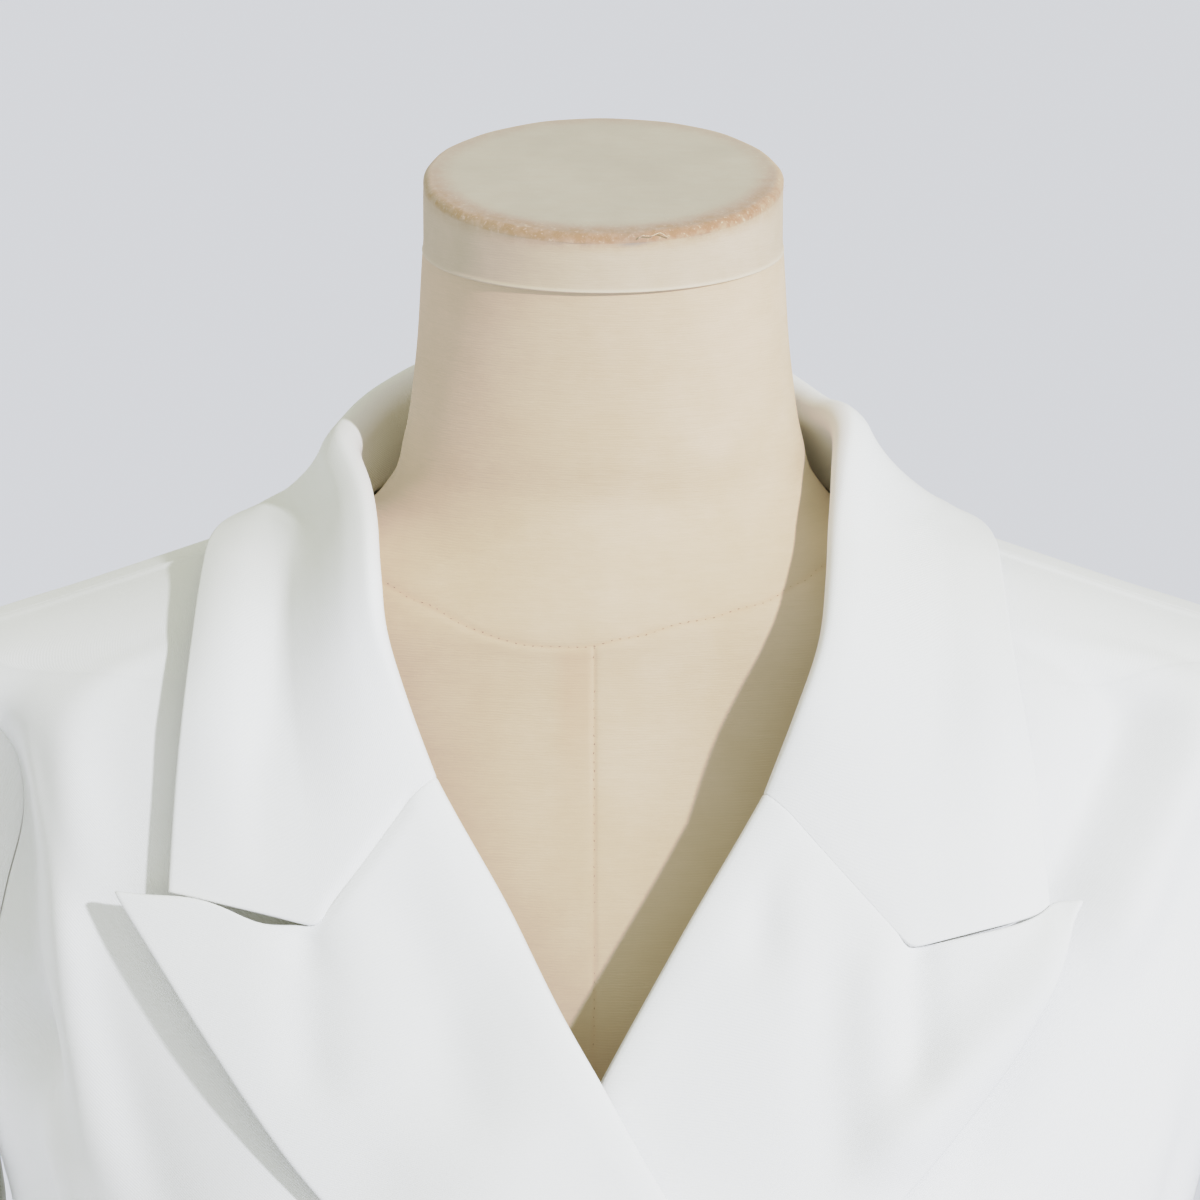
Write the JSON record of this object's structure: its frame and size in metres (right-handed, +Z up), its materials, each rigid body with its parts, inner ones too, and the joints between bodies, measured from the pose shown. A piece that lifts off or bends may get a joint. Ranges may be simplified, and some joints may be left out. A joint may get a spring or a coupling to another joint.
{
  "type": "double breasted blazer on dress form",
  "caption": "Fastened double-breasted blazer with wide peaked lapels and set-in sleeves, worn by a limbless linen-covered dress form with a flat-topped neck cap and a board foot.",
  "frame": {"origin": "centre of the base board's underside, on the floor", "axes": "+Z up along the form, -Y towards the front of the blazer, +X towards the wearer's left"},
  "size_m": [0.505, 0.2835, 0.8745],
  "materials": {
    "cloth": "smooth matt white suiting, fine twill weave, no sheen",
    "button": "white moulded, softly glossy, four holes",
    "linen": "plain-woven natural linen, matt, sewn seams",
    "cap_linen": "greyer, coarser linen, worn and fuzzy at the rim",
    "board": "waxed board"
  },
  "bodies": {
    "root": {"front_right": "cloth", "front_left": "cloth", "back_right": "cloth", "back_left": "cloth", "lapel_right": "cloth", "lapel_left": "cloth", "collar": "cloth", "sleeve_top_right": "cloth", "sleeve_under_right": "cloth", "sleeve_top_left": "cloth", "sleeve_under_left": "cloth", "button_1": "button", "button_2": "button", "button_3": "button", "button_4": "button", "button_5": "button", "button_6": "button", "form_torso": "linen", "form_cap": "cap_linen", "form_base": "board"}
  },
  "joints": []
}
